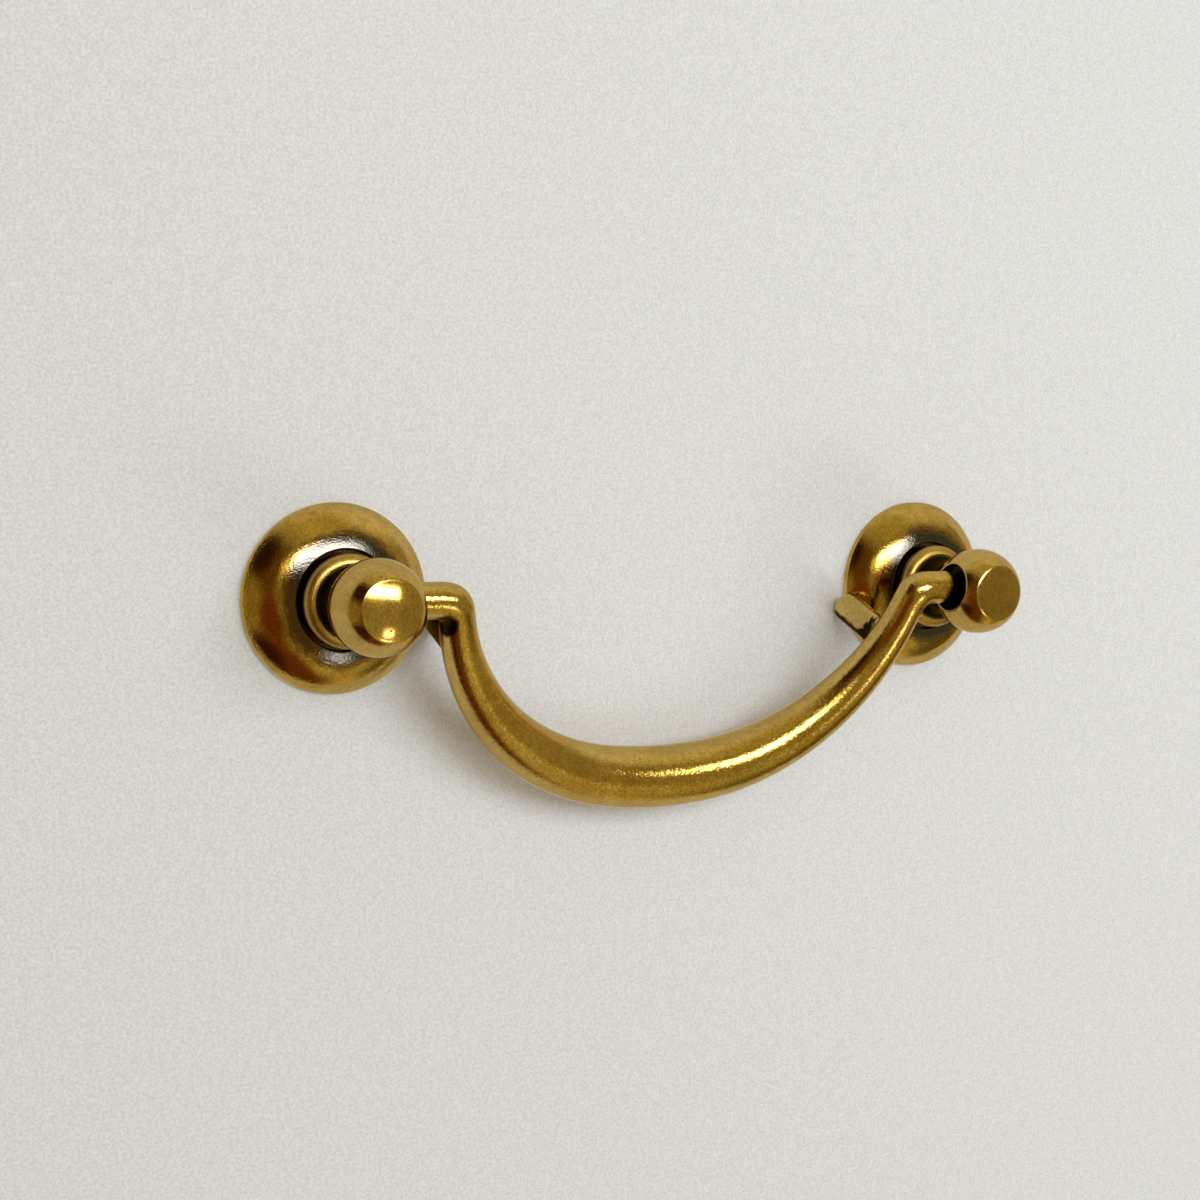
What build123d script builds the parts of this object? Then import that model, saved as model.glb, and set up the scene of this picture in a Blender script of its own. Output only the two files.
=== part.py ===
from build123d import *
import os
from math import acos, cos, pi, radians, sin, sqrt, tan

os.makedirs("parts", exist_ok=True)

# Bail pull on two round roses, in millimetres. The drawer front is the plane y = 0, the pull stands out
# of it towards -Y, X runs through the two posts and Z is up. The origin is midway between the posts.
post_spacing = 96.0

# Rose: domed disc with a hollow back and a round seat for the collar of the post
rose_diameter = 25.7
rose_edge_height = 0.8
rose_edge_round = 0.25
rose_dome_height = 4.8
rose_dome_radius = 10.0
rose_lip_round = 0.25
rose_wall = 1.3
rose_seat_depth = 1.4
collar_side_gap = 0.35

# Post: one turned piece, with a spigot through the rose, a beaded collar, a waisted neck and a ball
spigot_diameter = 7.0
spigot_gap = 0.1
spigot_foot_height = 0.3
collar_diameter = 12.7
collar_foot_inset = 1.1
collar_bead_height = 6.1
collar_bead_radius = 1.25
collar_step_inset = 0.35
collar_step_drop = 0.15
neck_diameter = 7.2
neck_height = 9.0
neck_foot_angle = 135.0
neck_top_angle = 59.0
ball_diameter = 12.7
ball_height = 16.4
ball_join_diameter = 8.4
ball_face_diameter = 8.2
ball_face_crown = 12.0
ball_face_round = 0.3

# Blind hole in the inner side of each ball, for the end of the bail, which has play in it
socket_play = 1.8
socket_rise = 0.65
socket_floor_reach = 3.8
socket_edge_round = 0.25

# Small drilled spot under the right ball
spot_diameter = 2.6
spot_depth = 1.2

# Blind M4 tapped hole in the back of each post, at its tapping size
tapped_hole_diameter = 3.3
tapped_hole_depth = 9.0
drill_point_angle = 118.0

# Bail: a round bar, thick in the middle, that bends outward into the two balls
bail_middle_diameter = 9.0
bail_neck_diameter = 4.9
bail_taper_power = 1.44
bail_middle_radius = 52.8
bail_middle_turn = 9.0
bail_side_turn = 68.0
bail_corner_inner_radius = 0.95
bail_corner_fill = 0.2
bail_corner_swell = 0.15
bail_corner_steps = 6
bail_pin_length = 3.9
bail_pin_round = 1.1
bail_sections_per_half = 9
pin_end_gap = 0.6
pin_side_gap = 0.1

# Stop lug on the back of each neck; its tip meets the drawer front and sets how the bail lies
rest_tilt = 22.0
lug_inset = 0.4
lug_thickness = 1.8
lug_top = 6.0
lug_height = 4.75
lug_tip_flat = 0.25
lug_tip_bottom_round = 1.3
lug_edge_round = 0.7
lug_root_round = 0.6
lug_rest_gap = 0.05

# Two shapes less than this far apart are taken to touch
touching = 0.001

post_x = post_spacing / 2
rose_radius = rose_diameter / 2
rose_seat_height = rose_dome_height - rose_seat_depth
collar_radius = collar_diameter / 2
ball_radius = ball_diameter / 2
pin_radius = bail_neck_diameter / 2
socket_radius = pin_radius + socket_play / 2

# The ends of the bail lie against the side of their holes that is nearer the drawer front
pivot_height = ball_height - (socket_radius - pin_radius - pin_side_gap)

# The bail fills the space between the sockets: the radius of its sides comes from what is left over
middle_turn = radians(bail_middle_turn)
end_turn = middle_turn + radians(bail_side_turn)
corner_radius = pin_radius + bail_corner_inner_radius
pin_tip_x = post_x - socket_floor_reach - pin_end_gap
pin_start_x = pin_tip_x - bail_pin_length
side_reach = pin_start_x - corner_radius * sin(end_turn) - bail_middle_radius * sin(middle_turn)
side_radius = side_reach / (sin(end_turn) - sin(middle_turn))
middle_rise = bail_middle_radius * (1 - cos(middle_turn))
side_rise = side_radius * (cos(middle_turn) - cos(end_turn))
bail_drop = middle_rise + side_rise + corner_radius * (1 - cos(end_turn))


def turned(profile_face):
    """Revolves a half section, drawn as (radius, height), and stands its axis out of the drawer front."""
    solid = revolve(Plane.XZ * profile_face, Axis.Z)
    return solid.rotate(Axis.X, 90)


def arc_point(start, end, radius, side):
    """Middle point of the arc of this radius from start to end, bulging to the left (+1) or right (-1)."""
    chord = Vector(*end) - Vector(*start)
    half = chord.length / 2
    sagitta = radius - sqrt(radius ** 2 - half ** 2)
    normal = Vector(-chord.Y, chord.X).normalized()
    middle = (Vector(*start) + Vector(*end)) * 0.5
    return middle + normal * sagitta * side


def make_rose():
    """Domed rose, hollow behind, with the collar's seat sunk into its crown."""
    lip_radius = collar_radius + collar_side_gap
    bore_radius = spigot_diameter / 2 + spigot_gap
    seat_under = rose_seat_height - rose_wall
    edge_top = (rose_radius, rose_edge_height)
    lip_top = (lip_radius, rose_dome_height)
    hollow_edge = (rose_radius - rose_wall, 0)
    hollow_top = (lip_radius, seat_under)
    with BuildSketch() as section:
        with BuildLine():
            Polyline(hollow_edge, (rose_radius, 0), edge_top)
            ThreePointArc(edge_top, arc_point(edge_top, lip_top, rose_dome_radius, -1), lip_top)
            Polyline(lip_top, (lip_radius, rose_seat_height), (bore_radius, rose_seat_height),
                     (bore_radius, seat_under), hollow_top)
            ThreePointArc(hollow_top, arc_point(hollow_top, hollow_edge, rose_dome_radius, 1), hollow_edge)
        make_face()
        fillet(section.vertices().sort_by_distance(lip_top)[0], rose_lip_round)
        fillet(section.vertices().sort_by_distance(edge_top)[0], rose_edge_round)
    return turned(section.sketch)


def make_post():
    """Turned post: spigot, collar with its bead and step, waisted neck, and ball with a crowned face."""
    spigot_radius = spigot_diameter / 2
    foot_radius = collar_radius - collar_foot_inset
    bead_centre = collar_radius - collar_bead_radius
    bead_foot = collar_bead_height - sqrt(collar_bead_radius ** 2 - (foot_radius - bead_centre) ** 2)
    bead_top = collar_bead_height + collar_bead_radius
    step_radius = bead_centre - collar_step_inset
    step_height = bead_top - collar_step_drop
    neck_radius = neck_diameter / 2
    neck_turns = (radians(neck_foot_angle), radians(neck_top_angle))
    neck_headings = [(cos(turn), sin(turn)) for turn in neck_turns]
    join_radius = ball_join_diameter / 2
    face_radius = ball_face_diameter / 2
    ball_join_height = ball_height - sqrt(ball_radius ** 2 - join_radius ** 2)
    face_height = ball_height + sqrt(ball_radius ** 2 - face_radius ** 2)
    face_edge = (face_radius, face_height)
    crown_centre = face_height - sqrt(ball_face_crown ** 2 - face_radius ** 2)
    crown_top = (0, crown_centre + ball_face_crown)
    with BuildSketch() as section:
        with BuildLine():
            Polyline(crown_top, (0, spigot_foot_height),
                     (spigot_radius, spigot_foot_height), (spigot_radius, rose_seat_height),
                     (foot_radius, rose_seat_height), (foot_radius, bead_foot))
            ThreePointArc((foot_radius, bead_foot), (collar_radius, collar_bead_height),
                          (bead_centre, bead_top))
            Polyline((bead_centre, bead_top), (bead_centre, step_height), (step_radius, step_height))
            Spline((step_radius, step_height), (neck_radius, neck_height),
                   (join_radius, ball_join_height), tangents=neck_headings)
            ThreePointArc((join_radius, ball_join_height), (ball_radius, ball_height), face_edge)
            ThreePointArc(face_edge, arc_point(face_edge, crown_top, ball_face_crown, -1), crown_top)
        make_face()
        fillet(section.vertices().sort_by_distance(face_edge)[0], ball_face_round)
    return turned(section.sketch)


def make_tapped_hole():
    """Blind hole in the back of the post, with the point that its drill leaves."""
    radius = tapped_hole_diameter / 2
    floor = spigot_foot_height + tapped_hole_depth
    point = floor + radius / tan(radians(drill_point_angle / 2))
    with BuildSketch() as section:
        with BuildLine():
            Polyline((0, 0), (radius, 0), (radius, floor), (0, point), close=True)
        make_face()
    return turned(section.sketch)


def make_socket(side):
    """Blind hole for the end of the bail, drilled along X into the inner side of one ball."""
    mouth = Plane(origin=(0, -ball_height, socket_rise), x_dir=(0, 1, 0), z_dir=(-side, 0, 0))
    drill = extrude(mouth * Circle(socket_radius), ball_radius)
    return drill.moved(Location((-side * socket_floor_reach, 0, 0)))


def make_spot():
    """Shallow drilled hole that rises into the underside of a ball."""
    below = Plane(origin=(0, -ball_height, -ball_radius), z_dir=(0, 0, 1))
    return extrude(below * Circle(spot_diameter / 2), spot_depth)


def place_post(side):
    """One finished post: the socket's edge is eased, and the tapped hole is open to the back."""
    post = make_post() - make_tapped_hole() - make_socket(side)
    if side > 0:
        post -= make_spot()
    walls = post.faces().filter_by(GeomType.CYLINDER)
    socket_wall = walls.sort_by(lambda wall: abs(wall.radius - socket_radius))[0]
    mouth = socket_wall.edges().sort_by(Axis.X)[0 if side > 0 else -1]
    post = fillet(mouth, socket_edge_round)
    return post.moved(Location((side * post_x, 0, 0)))


def bail_heading(share):
    """Slope of the bar's centre line, in radians, at a share of its way from the middle to the corner."""
    middle_length = bail_middle_radius * middle_turn
    side_length = side_radius * (end_turn - middle_turn)
    distance = share * (middle_length + side_length)
    if distance < middle_length:
        return distance / bail_middle_radius
    return middle_turn + (distance - middle_length) / side_radius


def bail_point(heading):
    """Place of the centre line at this slope, as (distance from the middle, drop under the pins)."""
    shared = min(heading, middle_turn)
    x = bail_middle_radius * sin(shared) + side_radius * (sin(heading) - sin(shared))
    rise = bail_middle_radius * (1 - cos(shared)) + side_radius * (cos(shared) - cos(heading))
    return x, bail_drop - rise


def neck_x(drop):
    """Distance of the centre line from the middle at this drop under the pins, on the side of the bail."""
    rise = bail_drop - drop - middle_rise
    return bail_point(acos(cos(middle_turn) - rise / side_radius))[0]


def bar_section(share, side):
    """Round section of the bar, square to its centre line, for the left (-1) or right (+1) half."""
    heading = bail_heading(share)
    x, drop = bail_point(heading)
    gain = (bail_middle_diameter - bail_neck_diameter) / 2
    radius = pin_radius + gain * (1 - share ** 2) ** bail_taper_power
    along = (cos(heading), 0, side * sin(heading))
    return Plane(origin=(side * x, 0, -drop), x_dir=(0, 1, 0), z_dir=along) * Circle(radius)


def make_lug():
    """Cast stop tongue behind the right neck, drawn as (reach towards the drawer front, drop)."""
    tilt = radians(rest_tilt)
    lug_bottom = lug_top + lug_height
    top_round = lug_height - lug_tip_flat - lug_tip_bottom_round
    stand_off = pivot_height - lug_rest_gap - lug_tip_bottom_round
    reach = (stand_off - (lug_bottom - lug_tip_bottom_round) * sin(tilt)) / cos(tilt) + lug_tip_bottom_round
    middle = neck_x(lug_top + lug_height / 2) - lug_inset
    flank = Plane(origin=(middle - lug_thickness / 2, 0, 0), x_dir=(0, 1, 0), z_dir=(1, 0, 0))
    with BuildSketch() as outline:
        with BuildLine():
            FilletPolyline((0, -lug_top), (reach, -lug_top), (reach, -lug_bottom), (0, -lug_bottom),
                           radius=[top_round, lug_tip_bottom_round])
            Line((0, -lug_bottom), (0, -lug_top))
        make_face()
    tongue = extrude(flank * outline.sketch, lug_thickness)
    rims = tongue.faces().filter_by(Axis.X).edges().sort_by(Axis.Y)
    return fillet(rims[2:], lug_edge_round)


def corner_section(share):
    """Round section of the right bend, at a share of its way from the bar to the pin."""
    heading = end_turn * (1 - share)
    fullness = sin(pi * share) ** 2
    reach = corner_radius + bail_corner_fill * fullness
    centre = (pin_start_x - reach * sin(heading), 0, reach * cos(heading) - corner_radius)
    section = Plane(origin=centre, x_dir=(0, 1, 0), z_dir=(cos(heading), 0, sin(heading)))
    return section * Circle(pin_radius + bail_corner_swell * fullness)


def make_bail_end():
    """Right end of the bail: the bend on to the pivot line, and the pin with its rounded tip."""
    bend = loft([corner_section(step / bail_corner_steps) for step in range(bail_corner_steps + 1)])
    pin_start = Plane(origin=(pin_start_x, 0, 0), x_dir=(0, 1, 0), z_dir=(1, 0, 0))
    pin = extrude(pin_start * Circle(pin_radius), bail_pin_length)
    pin = fillet(pin.edges().sort_by(Axis.X)[-1], bail_pin_round)
    return bend + pin


def cast_on(bar, lug):
    """Joins a lug to the bar and blends the edges where the two meet."""
    joined = bar + lug
    roots = [edge for edge in joined.edges()
             if max(bar.distance_to(edge @ 0.5), lug.distance_to(edge @ 0.5)) < touching]
    return fillet(roots, lug_root_round)


def make_bail():
    """The whole cast bail, built hanging square under its pivot line and then tilted to its rest."""
    shares = [step / bail_sections_per_half for step in range(bail_sections_per_half + 1)]
    left = [bar_section(share, -1) for share in reversed(shares[1:])]
    right = [bar_section(share, 1) for share in shares]
    end = make_bail_end()
    bar = loft(left + right) + end + mirror(end, Plane.YZ)
    lug = make_lug()
    bail = cast_on(cast_on(bar, lug), mirror(lug, Plane.YZ))
    bail = bail.rotate(Axis.X, rest_tilt)
    return bail.moved(Location((0, -pivot_height, socket_rise)))


rose = make_rose()
pieces = {"bail": make_bail()}
for name, side in (("left", -1), ("right", 1)):
    pieces["rose_" + name] = rose.moved(Location((side * post_x, 0, 0)))
    pieces["post_" + name] = place_post(side)

for name, piece in pieces.items():
    export_step(piece, "parts/" + name + ".step")
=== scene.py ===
import bpy
from math import cos, pi, radians, sin, tan
from mathutils import Matrix, Vector

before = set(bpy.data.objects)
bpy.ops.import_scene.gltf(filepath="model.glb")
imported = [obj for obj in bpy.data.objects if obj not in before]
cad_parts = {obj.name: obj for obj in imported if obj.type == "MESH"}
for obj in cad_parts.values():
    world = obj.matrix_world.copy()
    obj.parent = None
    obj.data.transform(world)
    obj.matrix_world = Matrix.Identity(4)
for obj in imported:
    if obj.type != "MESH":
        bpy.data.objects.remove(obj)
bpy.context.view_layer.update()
scene = bpy.context.scene
scene.view_settings.view_transform = "Standard"

# Camera: the photo looks at the drawer front from 29 degrees to the left and a little above
cameraSpot = {
    "place": (-0.13212, -0.23427, 0.01971),
    "turn": (1.4919, -0.0141, -0.4874),
    "lens": 55.32,
    "sensor": 36.0,
    "nearest": 0.01,
}


def setCamera(spot):
    data = bpy.data.cameras.new("camera")
    data.lens = spot["lens"]
    data.sensor_width = spot["sensor"]
    data.clip_start = spot["nearest"]
    camera = bpy.data.objects.new("camera", data)
    camera.location = spot["place"]
    camera.rotation_euler = spot["turn"]
    scene.collection.objects.link(camera)
    scene.camera = camera


setCamera(cameraSpot)
print("camera set")


# Short hands for building the node tree of a material or of the world
class Tree:
    def __init__(self, owner, output):
        owner.use_nodes = True
        self.owner = owner
        self.nodes = owner.node_tree.nodes
        self.links = owner.node_tree.links
        self.nodes.clear()
        self.out = self.node(output)

    def feed(self, socket, value):
        if isinstance(value, bpy.types.NodeSocket):
            self.links.new(value, socket)
        elif value is not None:
            socket.default_value = value

    def node(self, kind, values=None, **settings):
        made = self.nodes.new("ShaderNode" + kind)
        for key, value in settings.items():
            setattr(made, key, value)
        for key, value in (values or {}).items():
            self.feed(made.inputs[key], value)
        return made

    def math(self, operation, a, b=None, clamp=False):
        made = self.node("Math", operation=operation, use_clamp=clamp)
        self.feed(made.inputs[0], a)
        self.feed(made.inputs[1], b)
        return made.outputs[0]

    def vector(self, operation, a, b=None):
        made = self.node("VectorMath", operation=operation)
        self.feed(made.inputs[0], a)
        self.feed(made.inputs[1], b)
        return made.outputs["Value" if operation in ("DOT_PRODUCT", "LENGTH", "DISTANCE") else "Vector"]

    def mix(self, share, a, b, blend="MIX"):
        made = self.node("Mix", data_type="RGBA", blend_type=blend)
        self.feed(made.inputs[0], share)
        self.feed(made.inputs[6], a)
        self.feed(made.inputs[7], b)
        return made.outputs[2]

    def remap(self, value, low, high, toLow=0.0, toHigh=1.0):
        made = self.node("MapRange", clamp=True)
        for socket, number in zip(made.inputs, (value, low, high, toLow, toHigh)):
            self.feed(socket, number)
        return made.outputs[0]

    # 1 up to the first bound, and 0 from the second on
    def fall(self, value, low, high):
        return self.remap(value, low, high, 1.0, 0.0)

    # 1 between the two bounds, fading over the same width at each
    def band(self, value, low, high, fade):
        rising = self.remap(value, low - fade, low + fade)
        return self.math("MULTIPLY", rising, self.fall(value, high - fade, high + fade))

    def noise(self, place, size, detail=3.0, rough=0.55, warp=0.0):
        made = self.node("TexNoise", {"Vector": place, "Scale": 1.0 / size, "Detail": detail,
                                      "Roughness": rough, "Distortion": warp})
        return made.outputs["Fac"]

    # noise turned into a swing to both sides of zero
    def swing(self, noise, reach):
        return self.math("MULTIPLY", self.math("SUBTRACT", noise, 0.5), reach)

    def show(self, shader):
        self.links.new(shader.outputs[0], self.out.inputs["Surface"])


def newFinish(name):
    return Tree(bpy.data.materials.new(name), "OutputMaterial")


def addMesh(name, verts, faces):
    mesh = bpy.data.meshes.new(name)
    mesh.from_pydata(verts, [], faces)
    made = bpy.data.objects.new(name, mesh)
    scene.collection.objects.link(made)
    return made


def rgb(red, green, blue):
    return (red, green, blue, 1.0)


# Where the posts stand, to the left and right of the middle of the pull, and the width over which
# a value changes from the left half to the right one
postAcross = 0.048
seam = 0.001


def bySide(f, x, left, right):
    return f.remap(x, -seam, seam, left, right)


# Straight out of the drawer front, by a node because a colour socket holds no value below zero
def straightOut(f):
    return f.node("CombineXYZ", {"Y": -1.0}).outputs[0]


# What a patina is placed by: the place itself, the way across from the nearer post, the distance from
# its axis and the height off the drawer front
def placesOf(f):
    place = f.node("TexCoord").outputs["Object"]
    parts = f.node("SeparateXYZ", {"Vector": place}).outputs
    across = f.math("SUBTRACT", parts["X"], bySide(f, parts["X"], -postAcross, postAcross))
    around = f.node("CombineXYZ", {"X": across, "Z": parts["Z"]}).outputs[0]
    return {
        "place": place,
        "x": parts["X"],
        "around": around,
        "radius": f.vector("LENGTH", around),
        "height": f.math("MULTIPLY", parts["Y"], -1.0),
    }


# Antique brass: yellow metal under a thin lacquer, with blackened recesses and a fine cast grain
brassLook = {
    "pale": rgb(0.60, 0.40, 0.095),
    "deep": rgb(0.50, 0.315, 0.060),
    "stain": rgb(0.34, 0.20, 0.030),
    "brown": rgb(0.15, 0.065, 0.014),
    "dark": rgb(0.014, 0.008, 0.004),
    "worn": rgb(0.70, 0.52, 0.20),
    "edgeTint": rgb(0.80, 0.66, 0.40),
    "cloudSize": 0.007,
    "cloudRange": (0.36, 0.64),
    "mottleSize": 0.0012,
    "stainRange": (0.45, 0.70),
    "stainShare": 0.55,
    "grainSize": 0.00032,
    "grainRange": (0.36, 0.64),
    "grainTone": (0.80, 1.10),
    "grainHeight": 0.000030,
    "recessReach": 0.0014,
    "recessRange": (0.12, 0.36),
    "recessMottle": 0.30,
    "recessShare": 0.85,
    "brownRange": (0.02, 0.45),
    "brownShare": 0.8,
    "darkRange": (0.30, 0.85),
    "pitSize": 0.0021,
    "pitRange": (0.03, 0.075),
    "pitClouds": (0.50, 0.56),
    "pitShare": 0.8,
    "pitDepth": 0.00005,
    "edgeReach": 0.0003,
    "edgeRange": (0.90, 0.995),
    "edgeOpen": (0.6, 0.9),
    "edgeShare": 0.6,
    "roughRange": (0.3, 0.7),
    "roughness": (0.10, 0.17),
    "dullness": 0.2,
    "lacquer": 0.35,
    "lacquerOnBlack": 1.0,
    "lacquerRange": (0.2, 0.6),
    "lacquerRoughness": 0.07,
    "lacquerIndex": 1.65,
}


# One metal for every piece, each with its own grain, polish and dust in its recesses. At each place blacken
# says how black it is, patina and painted shade alike, and if need be how much of that is matte with no
# lacquer on it, dry soot and painted shade both, how dull and how fine the metal is, and the way it leans
# before the grain
def makeBrass(name, piece, blacken):
    look = brassLook
    f = newFinish(name)
    spot = placesOf(f)
    place = spot["place"]
    cloud = f.noise(place, look["cloudSize"], detail=4.0, warp=0.6)
    mottle = f.noise(place, look["mottleSize"], detail=5.0, rough=0.7)
    speck = f.noise(place, look["grainSize"], detail=2.0, rough=0.6)
    metal = f.mix(f.remap(cloud, *look["cloudRange"]), look["deep"], look["pale"])
    metal = f.mix(f.remap(mottle, *look["stainRange"], 0.0, look["stainShare"]), metal, look["stain"])
    metal = f.mix(1.0, metal, f.remap(speck, *look["grainRange"], *look["grainTone"]), "MULTIPLY")

    # black left in the recesses
    shut = f.node("AmbientOcclusion", {"Distance": look["recessReach"]}, samples=8, only_local=True)
    near = shut.outputs["AO"]
    closed = f.math("SUBTRACT", near, f.math("MULTIPLY", mottle, look["recessMottle"]))
    recess = f.fall(closed, *look["recessRange"])
    # black and matte here hold both patina and painted shade
    patinaAndShade = {"sootAndShade": 0.0, "dull": 0.0, "fine": 0.0, "lean": None}
    patinaAndShade.update(blacken(f, piece, spot, mottle))
    black = f.math("MAXIMUM", f.math("MULTIPLY", recess, look["recessShare"]), patinaAndShade["black"])
    sootAndShade = f.math("MAXIMUM", f.math("MULTIPLY", recess, piece["dust"]), patinaAndShade["sootAndShade"])
    brown = f.math("MULTIPLY", f.remap(black, *look["brownRange"]), look["brownShare"])
    metal = f.mix(brown, metal, look["brown"])
    metal = f.mix(f.remap(black, *look["darkRange"]), metal, look["dark"])

    # small pits
    cells = f.node("TexVoronoi", {"Vector": place, "Scale": 1.0 / look["pitSize"]}).outputs["Distance"]
    pit = f.math("MULTIPLY", f.fall(cells, *look["pitRange"]), f.remap(cloud, *look["pitClouds"]))
    metal = f.mix(f.math("MULTIPLY", pit, look["pitShare"]), metal, look["dark"])

    # rubbed edges
    bevel = f.node("Bevel", {"Radius": look["edgeReach"]}, samples=6)
    turn = f.vector("DOT_PRODUCT", bevel.outputs[0], f.node("NewGeometry").outputs["Normal"])
    edge = f.math("MULTIPLY", f.fall(turn, *look["edgeRange"]), f.remap(near, *look["edgeOpen"]))
    metal = f.mix(f.math("MULTIPLY", edge, look["edgeShare"]), metal, look["worn"])

    smooth, coarse = look["roughness"]
    rough = f.remap(mottle, *look["roughRange"], smooth - piece["polish"], coarse - piece["polish"])
    rough = f.math("ADD", rough, f.math("MULTIPLY", patinaAndShade["dull"], look["dullness"]))
    grainHeight = look["grainHeight"] * piece["grain"]
    grit = f.math("ADD", f.math("MULTIPLY", speck, grainHeight), f.math("MULTIPLY", mottle, grainHeight))
    grit = f.math("MULTIPLY", grit, f.math("SUBTRACT", 1.0, patinaAndShade["fine"]))
    grit = f.math("SUBTRACT", grit, f.math("MULTIPLY", pit, look["pitDepth"]))
    bump = f.node("Bump", {"Height": grit, "Strength": 1.0, "Distance": 1.0, "Normal": patinaAndShade["lean"]})

    lacquer = f.remap(black, *look["lacquerRange"], look["lacquer"], look["lacquerOnBlack"])
    skin = f.node("BsdfPrincipled", {
        "Base Color": metal,
        "Metallic": 1.0,
        "Roughness": rough,
        "Normal": bump.outputs[0],
        "Specular Tint": look["edgeTint"],
        "Coat Weight": f.math("SUBTRACT", lacquer, sootAndShade, clamp=True),
        "Coat Roughness": look["lacquerRoughness"],
        "Coat IOR": look["lacquerIndex"],
        "Coat Normal": bump.outputs[0],
    })
    f.show(skin)
    return f.owner


# Rose: glossy black round the collar, where the dome runs flatter, with an edge brushed along the turning,
# and on its lower left a dry brown without lacquer, partly patina and partly a painted reflection of the
# dark room on that side
roseLook = {
    "grain": 0.6,
    "polish": 0.05,
    "dust": 0.2,
    "black": 0.0078,
    "clear": 0.0096,
    "streakAround": 9.0,
    "streakWidth": 0.00025,
    "wanderSize": 0.005,
    "wander": 0.0044,
    "flatTo": (0.0088, 0.0106),
    "flatShare": 0.26,
    "brownSide": (-0.93, 0.0, -0.37),
    "brownFrom": (0.55, 0.85),
    "brownBlack": 0.6,
    "brownMatte": 0.9,
}


def blackenRose(f, look, spot, mottle):
    radius = spot["radius"]
    outward = f.vector("NORMALIZE", spot["around"])
    heading = f.node("SeparateXYZ", {"Vector": outward}).outputs
    spread = f.node("CombineXYZ", {
        "X": f.math("MULTIPLY", heading["X"], look["streakAround"]),
        "Y": f.math("DIVIDE", radius, look["streakWidth"]),
        "Z": f.math("MULTIPLY", heading["Z"], look["streakAround"]),
    }).outputs[0]
    streak = f.noise(spread, 1.0, detail=3.0, rough=0.6)
    wander = f.noise(spot["place"], look["wanderSize"], detail=2.0)
    both = f.math("ADD", f.math("MULTIPLY", streak, 0.5), f.math("MULTIPLY", wander, 0.5))
    black = f.fall(f.math("ADD", radius, f.swing(both, look["wander"])), look["black"], look["clear"])
    # the dry brown on the lower left: partly patina, partly a painted reflection of the dark room
    brown = f.remap(f.vector("DOT_PRODUCT", outward, look["brownSide"]), *look["brownFrom"])
    flat = f.remap(radius, *look["flatTo"], look["flatShare"], 0.0)
    lean = f.mix(flat, f.node("NewGeometry").outputs["Normal"], straightOut(f))
    return {
        "black": f.math("MULTIPLY", black, f.remap(brown, 0.0, 1.0, 1.0, look["brownBlack"])),
        "sootAndShade": f.math("MULTIPLY", brown, look["brownMatte"]),
        "lean": f.vector("NORMALIZE", lean),
    }


# Post: black in the waist of the neck and under the collar, partly patina and partly painted shade, and
# black inside the socket, which is painted shade. The crowned faces are smooth, and the right one was turned
# flatter and has tarnished. Values named Sides run left, right
postLook = {
    "grain": 0.4,
    "polish": 0.0,
    "dust": 0.85,
    "waist": (0.0068, 0.0119, 0.0003),
    "waistRadius": (0.0048, 0.0052),
    "foot": (0.0047, 0.0053),
    "wander": 0.0009,
    "ballHeight": 0.0164,
    "ballInside": (0.0060, 0.0062),
    "face": (0.0202, 0.0206),
    "crownCentre": -0.009971,
    "crownEdge": (0.0037, 0.0039),
    "crownFlatSides": (0.0, 0.78),
    "crownFineSides": (0.6, 0.95),
    "collar": (0.0045, 0.0078, 0.0004),
    "collarDull": 1.3,
    "tarnish": 0.16,
}


def blackenPost(f, look, spot, mottle):
    radius, height = spot["radius"], spot["height"]
    # black at the waist of the neck and at the foot under the collar: partly patina, partly painted shade
    wavy = f.math("ADD", height, f.swing(mottle, look["wander"]))
    waist = f.math("MULTIPLY", f.band(wavy, *look["waist"]), f.fall(radius, *look["waistRadius"]))
    foot = f.fall(wavy, *look["foot"])
    # painted shade inside the socket: the surface within the ball, below its face
    rise = f.math("SUBTRACT", height, look["ballHeight"])
    squares = f.math("ADD", f.math("MULTIPLY", radius, radius), f.math("MULTIPLY", rise, rise))
    inBall = f.fall(f.math("SQRT", squares), *look["ballInside"])
    socket = f.math("MULTIPLY", inBall, f.fall(height, *look["face"]))
    black = f.math("MAXIMUM", socket, f.math("MAXIMUM", waist, foot))

    isRight = bySide(f, spot["x"], 0.0, 1.0)
    centre = f.node("CombineXYZ", {
        "X": bySide(f, spot["x"], -postAcross, postAcross),
        "Y": look["crownCentre"],
    }).outputs[0]
    crown = f.vector("NORMALIZE", f.vector("SUBTRACT", spot["place"], centre))
    crown = f.mix(f.remap(isRight, 0.0, 1.0, *look["crownFlatSides"]), crown, straightOut(f))
    onCrown = f.math("MULTIPLY", f.fall(radius, *look["crownEdge"]), f.remap(height, *look["face"]))
    collar = f.band(height, *look["collar"])
    tarnished = f.math("MAXIMUM", collar, f.math("MULTIPLY", onCrown, isRight))
    return {
        "black": f.math("MAXIMUM", black, f.math("MULTIPLY", tarnished, look["tarnish"])),
        "sootAndShade": black,
        "dull": f.math("MULTIPLY", collar, look["collarDull"]),
        "fine": f.math("MULTIPLY", onCrown, f.remap(isRight, 0.0, 1.0, *look["crownFineSides"])),
        "lean": f.mix(onCrown, f.node("NewGeometry").outputs["Normal"], crown),
    }
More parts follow.
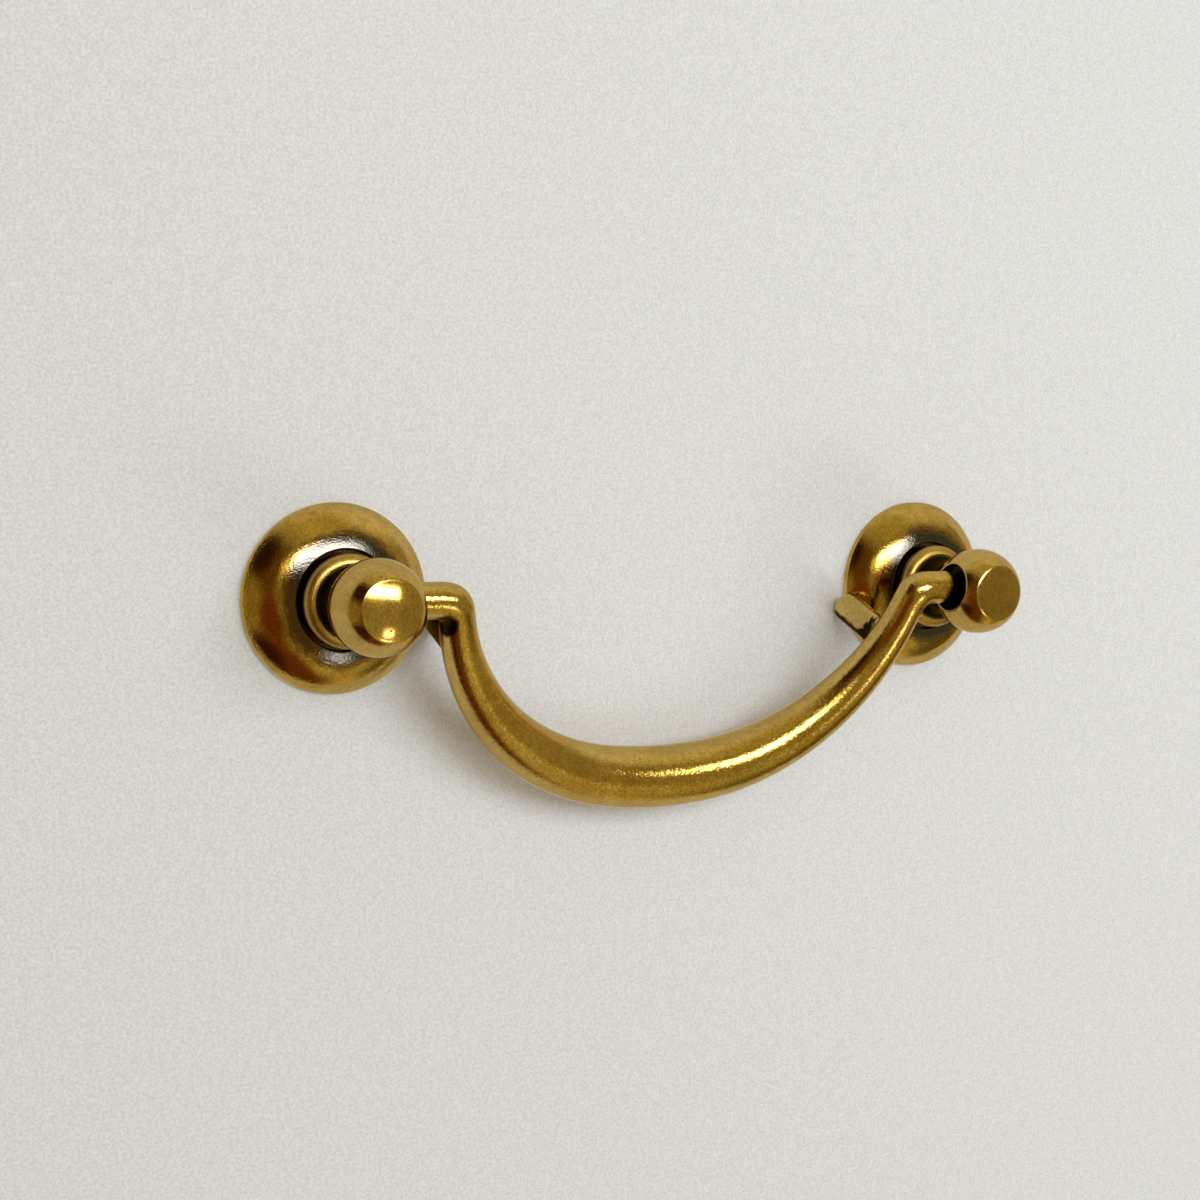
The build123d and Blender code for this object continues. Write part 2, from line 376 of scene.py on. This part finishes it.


# Bail: black spots, each as place, reach of the full black and reach of its edge: two of them in the corners
# under the pins, partly patina and partly painted shade, and one a painted shadow on the flank of the left
# lug; and black round the root of each lug, as patina, and along its lower rim, as painted shade. The lugs
# are placed as the pull hangs, with the tilt of the rest pose taken out
bailLook = {
    "grain": 1.1,
    "polish": 0.045,
    "dust": 0.85,
    "tilt": 22.0,
    "pivot": (0.0, -0.0156, 0.00065),
    "patinaAndShadeSpots": [
        ((-0.0386, -0.0156, -0.0023), 0.0016, 0.0022),
        ((0.0386, -0.0156, -0.0023), 0.0016, 0.0022),
        # a painted shadow on the flank of the left lug
        ((-0.0350, -0.0031, -0.0046), 0.0020, 0.0030),
    ],
    "wander": 0.0024,
    "spotWander": 0.5,
    "rimWander": 0.6,
    "lugAcross": (0.0328, 0.0366, 0.0004),
    "lugFrom": (0.0021, 0.0030),
    "lugRim": 0.0097,
    "lugRootTop": (0.0034, 0.0069),
    "lugRootBottom": (0.0052, 0.0091),
    "lugFade": 0.0002,
    "groundFade": 0.001,
    "groundDull": 0.9,
}


def blackenBail(f, look, spot, mottle):
    shifted = f.vector("SUBTRACT", spot["place"], look["pivot"])
    untilt = {"Vector": shifted, "Angle": -radians(look["tilt"])}
    hung = f.node("VectorRotate", untilt, rotation_type="X_AXIS").outputs[0]
    parts = f.node("SeparateXYZ", {"Vector": hung}).outputs
    reach = parts["Y"]
    drop = f.math("MULTIPLY", parts["Z"], -1.0)
    wander = f.swing(mottle, look["wander"])

    patinaAndShadeSpots = 0.0
    for spotCentre, full, edge in look["patinaAndShadeSpots"]:
        away = f.vector("DISTANCE", spot["place"], spotCentre)
        away = f.math("ADD", away, f.math("MULTIPLY", wander, look["spotWander"]))
        patinaAndShadeSpots = f.math("MAXIMUM", patinaAndShadeSpots, f.fall(away, full, edge))

    # the lug's ground face runs out to its tip; its root, slanted, is left black as patina, and its lower
    # rim is painted black as shade
    fade = look["lugFade"]
    topReach, topDrop = look["lugRootTop"]
    bottomReach, bottomDrop = look["lugRootBottom"]
    slope = (bottomReach - topReach) / (bottomDrop - topDrop)
    slant = f.math("SUBTRACT", reach, f.math("MULTIPLY", f.math("SUBTRACT", drop, topDrop), slope))
    root = f.fall(f.math("ADD", slant, wander), topReach - fade, topReach + fade)
    lower = f.math("ADD", drop, f.math("MULTIPLY", wander, look["rimWander"]))
    rim = f.remap(lower, look["lugRim"] - fade, look["lugRim"] + fade)
    across = f.band(f.math("ABSOLUTE", spot["x"]), *look["lugAcross"])
    onLug = f.math("MULTIPLY", f.remap(f.math("ADD", reach, wander), *look["lugFrom"]), across)
    lug = f.math("MULTIPLY", onLug, f.math("MAXIMUM", rim, root))
    ground = f.remap(reach, topReach, topReach + look["groundFade"], 0.0, look["groundDull"])
    black = f.math("MAXIMUM", patinaAndShadeSpots, lug)
    return {"black": black, "sootAndShade": black, "dull": f.math("MULTIPLY", ground, across)}


bailBrass = makeBrass("bailBrass", bailLook, blackenBail)
postBrass = makeBrass("postBrass", postLook, blackenPost)
roseBrass = makeBrass("roseBrass", roseLook, blackenRose)


def dressNode(name, material):
    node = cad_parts[name]
    node.data.materials.clear()
    node.data.materials.append(material)


dressNode("bail", bailBrass)
for side in ("left", "right"):
    dressNode("post_" + side, postBrass)
    dressNode("rose_" + side, roseBrass)
print("metal dressed")

# Drawer front: a plain painted board, seen from the front only, so that the back of the pull shows too.
# Rays shorter than the hollow of the roses is deep pass through it, so that light reaches their backs
wallLook = {
    "size": 4.0,
    "gap": 0.00005,
    "nearest": 0.008,
    "paint": rgb(0.80, 0.80, 0.77),
    "shade": rgb(0.66, 0.66, 0.635),
    "fineSize": 0.0004,
    "coarseSize": 0.0016,
    "coarseShare": 0.15,
    "toneRange": (0.38, 0.62),
    "roughness": 0.7,
    "shine": 0.2,
}


def makeWall(look):
    half = look["size"] / 2
    corners = [(x * half, look["gap"], z * half) for x, z in ((-1, -1), (1, -1), (1, 1), (-1, 1))]
    wall = addMesh("wall", corners, [(0, 1, 2, 3)])
    f = newFinish("paint")
    place = f.node("TexCoord").outputs["Object"]
    fine = f.noise(place, look["fineSize"], detail=2.0, rough=0.8)
    coarse = f.noise(place, look["coarseSize"], detail=2.0)
    share = look["coarseShare"]
    tone = f.math("ADD", f.math("MULTIPLY", fine, 1.0 - share), f.math("MULTIPLY", coarse, share))
    board = f.node("BsdfPrincipled", {
        "Base Color": f.mix(f.remap(tone, *look["toneRange"]), look["shade"], look["paint"]),
        "Roughness": look["roughness"],
        "Specular IOR Level": look["shine"],
    })
    clear = f.node("BsdfTransparent")
    behind = f.node("NewGeometry").outputs["Backfacing"]
    close = f.math("LESS_THAN", f.node("LightPath").outputs["Ray Length"], look["nearest"])
    passed = f.math("MAXIMUM", behind, close)
    f.show(f.node("MixShader", {0: passed, 1: board.outputs[0], 2: clear.outputs[0]}))
    wall.data.materials.append(f.owner)


makeWall(wallLook)
print("wall up")

# Light: one wide soft window above and a smaller one below, each placed by the direction that it comes
# from, as degrees to the right of straight out and degrees up. The metal doesn't see them: it sees the
# panes in the room further down
pullMiddle = Vector((0.0, -0.010, -0.010))
lampTone = (0.90, 0.98, 1.12)
lampSettings = {
    "window": {
        "azimuth": 14.0, "rise": 17.0, "away": 0.70,
        "size": (0.62, 0.36), "roll": -8.0, "power": 3.05,
    },
    "low": {
        "azimuth": 42.0, "rise": -33.0, "away": 0.70,
        "size": (0.30, 0.20), "roll": 0.0, "power": 0.60,
    },
}


def way(azimuth, rise):
    across, up = radians(azimuth), radians(rise)
    return Vector((sin(across) * cos(up), -cos(across) * cos(up), sin(up)))


def makeLamp(name, settings):
    data = bpy.data.lights.new(name, "AREA")
    data.shape = "RECTANGLE"
    data.size, data.size_y = settings["size"]
    data.energy = settings["power"]
    data.color = lampTone
    lamp = bpy.data.objects.new(name, data)
    direction = way(settings["azimuth"], settings["rise"])
    lamp.location = pullMiddle + direction * settings["away"]
    roll = Matrix.Rotation(radians(settings["roll"]), 3, "Z")
    turn = direction.to_track_quat("Z", "Y").to_matrix() @ roll
    lamp.rotation_euler = turn.to_euler()
    scene.collection.objects.link(lamp)
    lamp.visible_glossy = False


for name, settings in lampSettings.items():
    makeLamp(name, settings)

# The world: a pale background, and a warm soft light that fills the shadows
worldLook = {
    "pale": rgb(0.69, 0.69, 0.66),
    "soft": rgb(0.440, 0.382, 0.290),
}


def makeWorld(look):
    scene.world = bpy.data.worlds.new("room")
    f = Tree(scene.world, "OutputWorld")
    path = f.node("LightPath").outputs
    seen = f.math("MAXIMUM", path["Is Camera Ray"], path["Is Glossy Ray"])
    seen = f.math("MAXIMUM", seen, path["Is Transmission Ray"])
    f.show(f.node("Background", {"Color": f.mix(seen, look["soft"], look["pale"])}))


makeWorld(worldLook)

# The room in front of the pull is a glowing half dome that only reflections see, painted with the
# reflections that the
# metal shows: a warm middle tone with soft cards hung on it, each as azimuth, rise, reach of the full tone,
# reach of its edge and tone, and with bright panes that are painted window highlights, each as azimuth,
# rise, half width, half height, slope, soft edge and tone
roomLook = {
    "radius": 1.2,
    "rings": 16,
    "turns": 48,
    "tone": rgb(0.40, 0.335, 0.14),
    "cards": [
        (0.0, 88.0, 14.0, 36.0, rgb(0.72, 0.66, 0.38)),
        (75.0, 58.0, 14.0, 34.0, rgb(0.84, 0.78, 0.56)),
        (5.0, 57.0, 12.0, 26.0, rgb(0.57, 0.49, 0.18)),
        (0.0, -88.0, 10.0, 34.0, rgb(0.38, 0.24, 0.045)),
        (85.0, -84.0, 12.0, 30.0, rgb(0.86, 0.74, 0.32)),
        (-80.0, -72.0, 18.0, 38.0, rgb(0.15, 0.058, 0.008)),
        (80.0, -38.0, 11.0, 24.0, rgb(0.20, 0.150, 0.035)),
        (22.0, -48.0, 12.0, 26.0, rgb(0.60, 0.52, 0.22)),
        (-50.0, 22.0, 15.0, 29.0, rgb(0.17, 0.085, 0.020)),
        (-45.0, -18.0, 15.0, 28.0, rgb(0.20, 0.058, 0.014)),
        (-42.0, -52.0, 12.0, 24.0, rgb(0.19, 0.062, 0.012)),
        (-82.0, -12.0, 9.0, 17.0, rgb(0.37, 0.28, 0.07)),
        (-84.0, 10.0, 5.0, 12.0, rgb(0.32, 0.24, 0.07)),
        (-74.0, 34.0, 13.0, 24.0, rgb(0.038, 0.016, 0.004)),
        (-80.0, -47.0, 13.0, 24.0, rgb(0.06, 0.017, 0.004)),
    ],
    "panes": [
        (-20.0, 18.0, 8.0, 6.0, -0.10, 3.0, rgb(1.7, 1.5, 0.8)),
        (6.5, 18.0, 19.0, 5.5, -0.10, 3.0, rgb(18.0, 17.7, 16.4)),
        (16.0, -31.0, 5.0, 4.0, 0.0, 2.5, rgb(7.0, 6.7, 5.9)),
    ],
    "paneFront": (0.0, 0.1),
}


def halfDome(radius, rings, turns):
    verts = [(0.0, -radius, 0.0)]
    faces = []
    for ring in range(1, rings + 1):
        lean = pi / 2 * ring / rings
        start = 1 + (ring - 1) * turns
        for turn in range(turns):
            around = 2 * pi * turn / turns
            out = radius * sin(lean)
            verts.append((out * cos(around), -radius * cos(lean), out * sin(around)))
            left = start + turn
            right = start + (turn + 1) % turns
            if ring == 1:
                faces.append((0, left, right))
            else:
                faces.append((left - turns, left, right, right - turns))
    return verts, faces


def makeRoom(look):
    room = addMesh("room", *halfDome(look["radius"], look["rings"], look["turns"]))
    room.visible_camera = False
    room.visible_diffuse = False
    room.visible_shadow = False
    room.visible_transmission = False
    f = newFinish("room")
    toward = f.vector("NORMALIZE", f.node("TexCoord").outputs["Object"])
    tone = look["tone"]
    for azimuth, rise, full, edge, card in look["cards"]:
        lined = f.vector("DOT_PRODUCT", toward, way(azimuth, rise))
        tone = f.mix(f.remap(lined, cos(radians(edge)), cos(radians(full))), tone, card)
    for azimuth, rise, halfWidth, halfHeight, slope, soft, pane in look["panes"]:
        ahead = way(azimuth, rise)
        across = Vector((cos(radians(azimuth)), sin(radians(azimuth)), 0.0))
        upward = ahead.cross(across)
        depth = f.vector("DOT_PRODUCT", toward, ahead)
        x = f.math("DIVIDE", f.vector("DOT_PRODUCT", toward, across), depth)
        y = f.math("DIVIDE", f.vector("DOT_PRODUCT", toward, upward), depth)
        y = f.math("SUBTRACT", y, f.math("MULTIPLY", x, slope))
        fade, wide, high = (tan(radians(angle)) for angle in (soft, halfWidth, halfHeight))
        share = f.math("MULTIPLY", f.band(x, -wide, wide, fade), f.band(y, -high, high, fade))
        share = f.math("MULTIPLY", share, f.remap(depth, *look["paneFront"]))
        tone = f.mix(share, tone, pane)
    f.show(f.node("Emission", {"Color": tone, "Strength": 1.0}))
    room.data.materials.append(f.owner)


makeRoom(roomLook)
print("light set")
